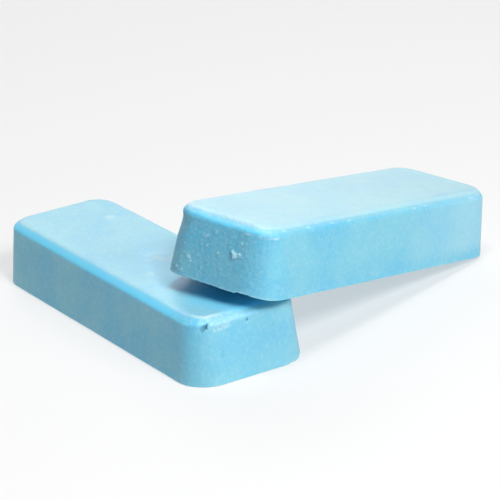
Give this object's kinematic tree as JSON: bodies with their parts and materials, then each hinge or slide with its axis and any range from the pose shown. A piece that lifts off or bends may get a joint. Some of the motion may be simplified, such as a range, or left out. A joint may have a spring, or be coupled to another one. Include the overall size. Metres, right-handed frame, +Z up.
{
  "type": "clay bar",
  "caption": "Cast detailing clay for pulling bonded grime off car paint: plain oblong blocks with sloping walls and rounded top edges, leaning together.",
  "frame": {"origin": "middle of the lower bar's base, on the surface that the bars lie on", "axes": "+X along the lower bar, +Y across the lower bar towards the upper bar's low end, +Z up"},
  "size_m": [0.1338, 0.1419, 0.0497],
  "materials": {
    "clay": "smooth, slightly waxy, semi-matte"
  },
  "bodies": {
    "lower_bar": {"lower_bar": "clay"},
    "upper_bar": {"upper_bar": "clay"}
  },
  "joints": [
    {"name": "upper_bar_lift", "type": "slide", "parent": "lower_bar", "child": "upper_bar", "axis": [0, 0, 1], "range_m": [0, 0.06]}
  ]
}
